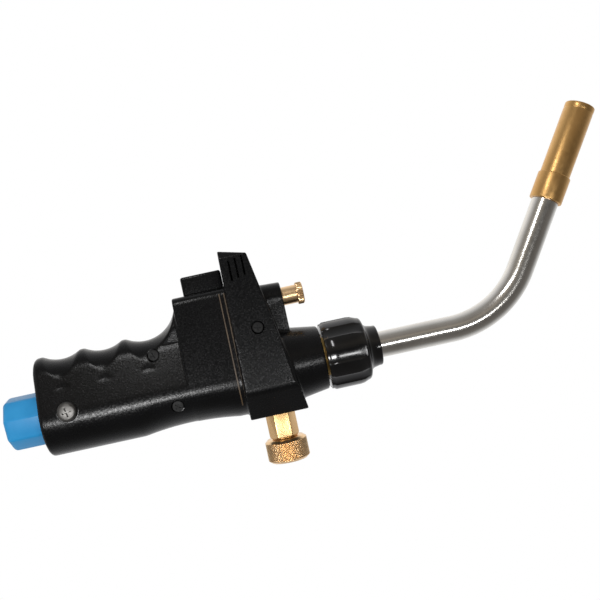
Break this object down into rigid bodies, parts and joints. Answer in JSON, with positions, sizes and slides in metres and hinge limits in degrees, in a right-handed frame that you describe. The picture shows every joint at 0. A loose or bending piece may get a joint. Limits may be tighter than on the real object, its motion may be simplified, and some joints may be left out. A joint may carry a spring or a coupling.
{
  "type": "propane torch",
  "caption": "Hand-held gas torch head with pistol grip, trigger ignition, lock button, flow valve and a swivelling bent burner tube with a brass tip.",
  "frame": {"origin": "centre of the mouth of the threaded cylinder inlet, 3 mm inside the open end of the handle", "axes": "+Z along the handle from the cylinder inlet to the burner, +X to the trigger side, +Y to the left hand side; symmetric about Y = 0 apart from screws"},
  "size_m": [0.1419, 0.04, 0.3108],
  "materials": {
    "black_plastic": "fine moulded grain",
    "gloss_black": "gloss",
    "blue_plastic": "satin",
    "plain_brass": "machined",
    "bright_brass": "polished",
    "knurled_brass": "knurled",
    "tip_brass": "satin, golden brown",
    "stainless_tube": "polished",
    "plated_steel": "bright plated",
    "black_steel": "blackened",
    "spring_steel": "drawn",
    "copper_tube": "drawn copper",
    "seal_rubber": "matte",
    "wire_cover": "smooth",
    "ceramic": "fired ceramic",
    "igniter_plastic": "moulded",
    "plunger_plastic": "moulded"
  },
  "bodies": {
    "housing": {"left_shell": "black_plastic", "right_shell": "black_plastic", "shell_screws": "black_steel", "inlet_screws": "plated_steel", "inlet_collar": "plain_brass", "inlet_body": "plain_brass", "inlet_seal": "seal_rubber", "depressor_pin": "plain_brass", "inlet_filter": "plain_brass", "regulator_body": "plain_brass", "regulator_poppet": "plain_brass", "diaphragm": "seal_rubber", "spring_plate": "spring_steel", "regulator_spring": "spring_steel", "regulator_cap": "plain_brass", "gas_tube": "copper_tube", "valve_body": "plain_brass", "bonnet": "bright_brass", "stem_o_ring": "seal_rubber", "pin_o_ring": "seal_rubber", "piezo_igniter": "igniter_plastic", "trigger_spring": "spring_steel", "lock_spring": "spring_steel", "ignition_wire": "wire_cover", "contact_holder": "ceramic", "spark_contact": "plain_brass", "jet_nozzle": "plain_brass", "burner_spigot": "plain_brass"},
    "trigger": {"trigger": "black_plastic", "piezo_plunger": "plunger_plastic", "trigger_valve_pin": "plain_brass"},
    "lock_button": {"lock_button": "knurled_brass", "lock_clip": "spring_steel"},
    "flow_knob": {"flow_knob": "knurled_brass", "valve_stem": "plain_brass"},
    "collar_nut": {"collar_nut": "gloss_black"},
    "burner": {"burner_tube": "stainless_tube", "tube_flange": "plain_brass", "tip_ferrule": "tip_brass", "burner_tip": "tip_brass", "flame_holder": "spring_steel", "electrode": "spring_steel", "electrode_insulators": "ceramic"},
    "dust_plug": {"dust_plug": "blue_plastic"}
  },
  "joints": [
    {"name": "trigger_pull", "type": "slide", "parent": "housing", "child": "trigger", "axis": [-1, 0, 0], "range_m": [0, 0.008], "stiffness_N_per_m": 600, "springref_m": -0.008, "deforming": ["trigger_spring"]},
    {"name": "lock_press", "type": "slide", "parent": "housing", "child": "lock_button", "axis": [0, 0, -1], "range_m": [0, 0.004], "stiffness_N_per_m": 300, "springref_m": -0.003, "deforming": ["lock_spring"]},
    {"name": "flow_turn", "type": "hinge", "parent": "housing", "child": "flow_knob", "pos_m": [-0.04, 0, 0.1088], "axis": [-1, 0, 0], "range_deg": [0, 360]},
    {"name": "nut_turn", "type": "hinge", "parent": "housing", "child": "collar_nut", "pos_m": [0, 0, 0.146], "axis": [0, 0, 1], "continuous": true},
    {"name": "burner_swivel", "type": "hinge", "parent": "housing", "child": "burner", "pos_m": [0, 0, 0.146], "axis": [0, 0, 1], "continuous": true},
    {"name": "plug_pull", "type": "slide", "parent": "housing", "child": "dust_plug", "axis": [0, 0, -1], "range_m": [0, 0.06]}
  ]
}
